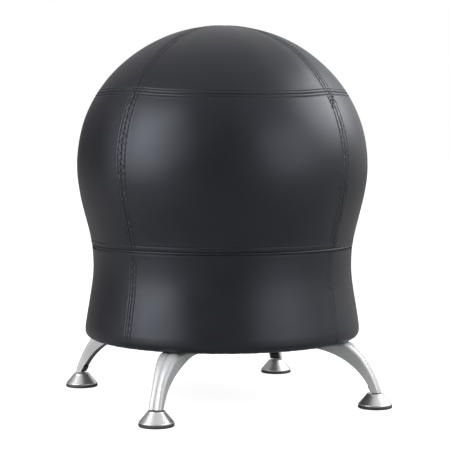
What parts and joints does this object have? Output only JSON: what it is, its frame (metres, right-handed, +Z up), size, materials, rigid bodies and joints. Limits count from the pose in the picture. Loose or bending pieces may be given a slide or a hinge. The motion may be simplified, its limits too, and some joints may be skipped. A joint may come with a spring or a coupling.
{
  "type": "balance ball chair",
  "caption": "Backless active-sitting chair: inflated ball in a sewn vinyl cover, seated in a padded round base on four arched legs with swivelling conical glides.",
  "frame": {"origin": "on the floor, under the middle of the ball: the centre of the four feet's pads at their undersides", "axes": "+Z up along the ball's axis; the two front legs stand towards -Y, one at -X and one at +X, so the four feet sit on the diagonals; the cover is turned on the base as in the picture"},
  "size_m": [0.4548, 0.4542, 0.584],
  "materials": {
    "vinyl_cover": "satin",
    "vinyl_welt": "satin",
    "ball_rubber": "satin",
    "plug_plastic": "satin",
    "foam": "matte",
    "plywood": "matte",
    "dust_cloth": "matte",
    "silver_paint": "satin",
    "bright_metal": "satin",
    "zinc_steel": "satin",
    "black_plastic": "matte",
    "glide_plastic": "matte",
    "zip_plastic": "satin",
    "zip_metal": "satin"
  },
  "bodies": {
    "base": {"skirt_panel_front": "vinyl_cover", "skirt_panel_right": "vinyl_cover", "skirt_panel_rear": "vinyl_cover", "skirt_panel_left": "vinyl_cover", "waist_welt": "vinyl_welt", "valve_plug": "plug_plastic", "foam_cradle": "foam", "base_board": "plywood", "dust_cover": "dust_cloth", "zip_chain": "zip_plastic", "leg_front_left": "silver_paint", "foot_insert_front_left": "black_plastic", "leg_bolt_front_left_inner": "zinc_steel", "leg_bolt_front_left_outer": "zinc_steel", "threaded_insert_front_left_inner": "zinc_steel", "threaded_insert_front_left_outer": "zinc_steel", "leg_front_right": "silver_paint", "foot_insert_front_right": "black_plastic", "leg_bolt_front_right_inner": "zinc_steel", "leg_bolt_front_right_outer": "zinc_steel", "threaded_insert_front_right_inner": "zinc_steel", "threaded_insert_front_right_outer": "zinc_steel", "leg_rear_right": "silver_paint", "foot_insert_rear_right": "black_plastic", "leg_bolt_rear_right_inner": "zinc_steel", "leg_bolt_rear_right_outer": "zinc_steel", "threaded_insert_rear_right_inner": "zinc_steel", "threaded_insert_rear_right_outer": "zinc_steel", "leg_rear_left": "silver_paint", "foot_insert_rear_left": "black_plastic", "leg_bolt_rear_left_inner": "zinc_steel", "leg_bolt_rear_left_outer": "zinc_steel", "threaded_insert_rear_left_inner": "zinc_steel", "threaded_insert_rear_left_outer": "zinc_steel"},
    "seat": {"crown_panel_front": "vinyl_cover", "crown_panel_right": "vinyl_cover", "crown_panel_rear": "vinyl_cover", "crown_panel_left": "vinyl_cover", "side_panel_front": "vinyl_cover", "side_panel_right": "vinyl_cover", "side_panel_rear": "vinyl_cover", "side_panel_left": "vinyl_cover", "exercise_ball": "ball_rubber"},
    "stud_front_left": {"glide_stud_front_left": "zinc_steel"},
    "glide_front_left": {"glide_cone_front_left": "bright_metal", "glide_pad_front_left": "glide_plastic"},
    "stud_front_right": {"glide_stud_front_right": "zinc_steel"},
    "glide_front_right": {"glide_cone_front_right": "bright_metal", "glide_pad_front_right": "glide_plastic"},
    "stud_rear_right": {"glide_stud_rear_right": "zinc_steel"},
    "glide_rear_right": {"glide_cone_rear_right": "bright_metal", "glide_pad_rear_right": "glide_plastic"},
    "stud_rear_left": {"glide_stud_rear_left": "zinc_steel"},
    "glide_rear_left": {"glide_cone_rear_left": "bright_metal", "glide_pad_rear_left": "glide_plastic"},
    "zip_slider": {"zip_slider": "zip_metal"},
    "zip_pull": {"zip_pull": "zip_metal"}
  },
  "joints": [
    {"name": "seat_give", "type": "slide", "parent": "base", "child": "seat", "axis": [0, 0, 1], "range_m": [-0.045, 0], "stiffness_N_per_m": 17000, "springref_m": 0.004, "deforming": ["exercise_ball", "side_panel_front", "side_panel_right", "side_panel_rear", "side_panel_left"]},
    {"name": "glide_swivel_front_left", "type": "hinge", "parent": "base", "child": "stud_front_left", "pos_m": [-0.1772, -0.1772, 0.0115], "axis": [0, 0, 1], "continuous": true},
    {"name": "glide_tilt_front_left", "type": "hinge", "parent": "stud_front_left", "child": "glide_front_left", "pos_m": [-0.1772, -0.1772, 0.0115], "axis": [0.7071, -0.7071, 0], "range_deg": [-6, 6]},
    {"name": "glide_swivel_front_right", "type": "hinge", "parent": "base", "child": "stud_front_right", "pos_m": [0.1772, -0.1772, 0.0115], "axis": [0, 0, 1], "continuous": true},
    {"name": "glide_tilt_front_right", "type": "hinge", "parent": "stud_front_right", "child": "glide_front_right", "pos_m": [0.1772, -0.1772, 0.0115], "axis": [0.7071, 0.7071, 0], "range_deg": [-6, 6]},
    {"name": "glide_swivel_rear_right", "type": "hinge", "parent": "base", "child": "stud_rear_right", "pos_m": [0.1772, 0.1772, 0.0115], "axis": [0, 0, 1], "continuous": true},
    {"name": "glide_tilt_rear_right", "type": "hinge", "parent": "stud_rear_right", "child": "glide_rear_right", "pos_m": [0.1772, 0.1772, 0.0115], "axis": [-0.7071, 0.7071, 0], "range_deg": [-6, 6]},
    {"name": "glide_swivel_rear_left", "type": "hinge", "parent": "base", "child": "stud_rear_left", "pos_m": [-0.1772, 0.1772, 0.0115], "axis": [0, 0, 1], "continuous": true},
    {"name": "glide_tilt_rear_left", "type": "hinge", "parent": "stud_rear_left", "child": "glide_rear_left", "pos_m": [-0.1772, 0.1772, 0.0115], "axis": [-0.7071, -0.7071, 0], "range_deg": [-6, 6]},
    {"name": "zip_run", "type": "hinge", "parent": "base", "child": "zip_slider", "pos_m": [0, 0, 0.24], "axis": [0, 0, 1], "range_deg": [0, 320]},
    {"name": "zip_pull_lift", "type": "hinge", "parent": "zip_slider", "child": "zip_pull", "pos_m": [0.05919, 0.19919, 0.24], "axis": [0.9586, -0.2849, 0], "range_deg": [0, 150]}
  ]
}
